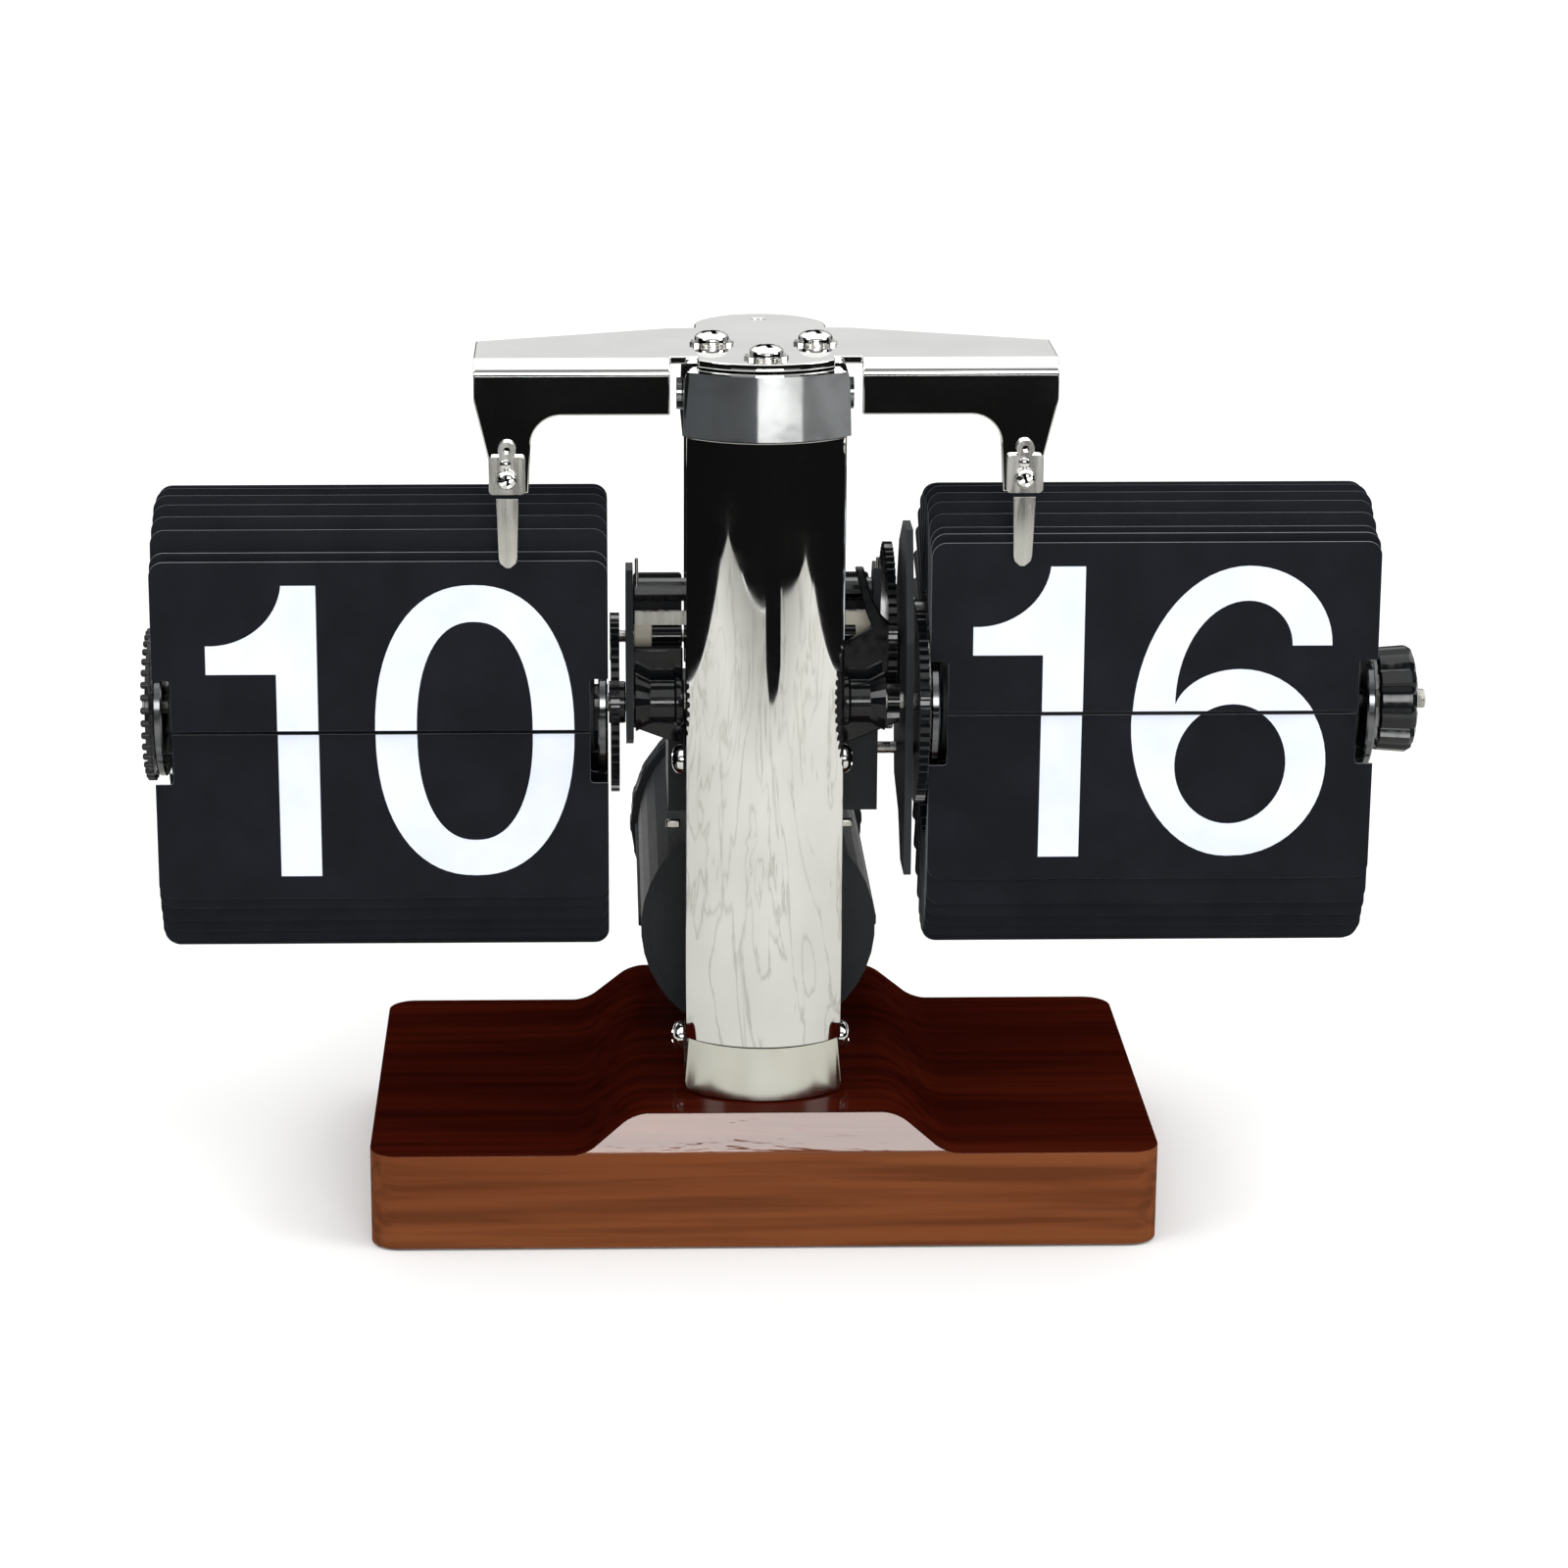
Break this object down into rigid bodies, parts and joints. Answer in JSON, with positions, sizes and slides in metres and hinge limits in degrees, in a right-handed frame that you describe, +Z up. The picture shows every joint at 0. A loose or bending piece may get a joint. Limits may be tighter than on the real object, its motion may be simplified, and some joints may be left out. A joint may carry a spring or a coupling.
{
  "type": "flip number clock",
  "caption": "Desk clock with a polished column on a wooden base, split-flap hour and minute drums on a common axle, and a top bracket with retaining fingers.",
  "frame": {"origin": "middle of the base pad's bottom face, on the surface the clock stands on", "axes": "+X towards the minute display, -Y towards the viewer, +Z up"},
  "size_m": [0.2066, 0.1026, 0.1448],
  "materials": {
    "polished_chrome": "mirror polished",
    "satin_steel": "satin",
    "black_plastic": "semi-gloss moulded",
    "leaf_plastic": "fine matte sheet",
    "white_plastic": "natural moulded",
    "brass": "machined",
    "circuit_board": "solder mask",
    "cell_jacket": "printed jacket, plain",
    "lacquered_wood": "clear gloss lacquer",
    "felt": "pressed felt"
  },
  "bodies": {
    "clock_frame": {"base_block": "lacquered_wood", "base_pad": "felt", "column_foot": "polished_chrome", "column_shell": "polished_chrome", "column_core": "black_plastic", "column_back": "black_plastic", "column_cap": "polished_chrome", "side_screw_upper_left": "polished_chrome", "side_screw_upper_right": "polished_chrome", "side_screw_lower_left": "polished_chrome", "side_screw_lower_right": "polished_chrome", "top_bracket": "polished_chrome", "bracket_screw_left": "polished_chrome", "bracket_screw_right": "polished_chrome", "bracket_screw_front": "polished_chrome", "hour_retainer": "satin_steel", "hour_retainer_screw": "polished_chrome", "hour_finger": "satin_steel", "minute_retainer": "satin_steel", "minute_retainer_screw": "polished_chrome", "minute_finger": "satin_steel", "bearing_left": "satin_steel", "bearing_right": "satin_steel", "frame_plate_left": "black_plastic", "frame_plate_inner": "black_plastic", "frame_plate_right": "black_plastic", "frame_pillar": "satin_steel", "frame_strip": "satin_steel", "motor_case": "black_plastic", "motor_lid": "black_plastic", "motor_coil": "brass", "circuit_board": "circuit_board", "battery_tube": "black_plastic", "battery_spring": "satin_steel", "minute_leaf_next": "leaf_plastic", "minute_leaf_lower": "leaf_plastic", "minute_leaf_fan": "leaf_plastic", "hour_leaf_next": "leaf_plastic", "hour_leaf_lower": "leaf_plastic", "hour_leaf_fan": "leaf_plastic"},
    "minute_drum": {"minute_shaft": "satin_steel", "minute_inner_disc": "black_plastic", "minute_outer_disc": "black_plastic", "minute_wheel": "black_plastic", "minute_pinion": "white_plastic", "set_knob": "black_plastic"},
    "hour_drum": {"hour_shaft": "satin_steel", "hour_inner_disc": "black_plastic", "hour_outer_disc": "black_plastic", "hour_wheel": "black_plastic", "hour_detent_ring": "black_plastic"},
    "transfer_arbor": {"transfer_shaft": "satin_steel", "transfer_wheel": "white_plastic", "transfer_pinion": "white_plastic"},
    "motor_arbor": {"motor_shaft": "satin_steel", "motor_pinion": "brass"},
    "minute_leaf": {"minute_leaf_front": "leaf_plastic"},
    "hour_leaf": {"hour_leaf_front": "leaf_plastic"},
    "battery": {"battery_cell": "cell_jacket"},
    "battery_door": {"battery_cap": "black_plastic"}
  },
  "joints": [
    {"name": "minute_drum_spin", "type": "hinge", "parent": "clock_frame", "child": "minute_drum", "pos_m": [0, -0.0131, 0.0846], "axis": [1, 0, 0], "continuous": true},
    {"name": "hour_drum_spin", "type": "hinge", "parent": "clock_frame", "child": "hour_drum", "pos_m": [0, -0.0131, 0.0846], "axis": [1, 0, 0], "continuous": true},
    {"name": "transfer_spin", "type": "hinge", "parent": "clock_frame", "child": "transfer_arbor", "pos_m": [0, 0.00301, 0.09144], "axis": [1, 0, 0], "continuous": true},
    {"name": "motor_spin", "type": "hinge", "parent": "clock_frame", "child": "motor_arbor", "pos_m": [0, 0.00167, 0.07264], "axis": [1, 0, 0], "continuous": true},
    {"name": "minute_leaf_fall", "type": "hinge", "parent": "clock_frame", "child": "minute_leaf", "pos_m": [0.06185, -0.0233, 0.0852], "axis": [1, 0, 0], "range_deg": [0, 178], "deforming": ["minute_finger"]},
    {"name": "hour_leaf_fall", "type": "hinge", "parent": "clock_frame", "child": "hour_leaf", "pos_m": [-0.0609, -0.0233, 0.0826], "axis": [1, 0, 0], "range_deg": [0, 178], "deforming": ["hour_finger"]},
    {"name": "battery_slide", "type": "slide", "parent": "clock_frame", "child": "battery", "axis": [0, 1, 0], "range_m": [0, 0.064]},
    {"name": "battery_cap_off", "type": "slide", "parent": "clock_frame", "child": "battery_door", "axis": [0, 1, 0], "range_m": [0, 0.08]}
  ],
  "couplings": [
    {"joint": "hour_drum_spin", "follows": "minute_drum_spin", "ratio": 0.041667},
    {"joint": "transfer_spin", "follows": "minute_drum_spin", "ratio": -0.16667},
    {"joint": "motor_spin", "follows": "minute_drum_spin", "ratio": -5.3333},
    {"joint": "battery_cap_off", "follows": "battery_slide", "ratio": 1.25}
  ]
}
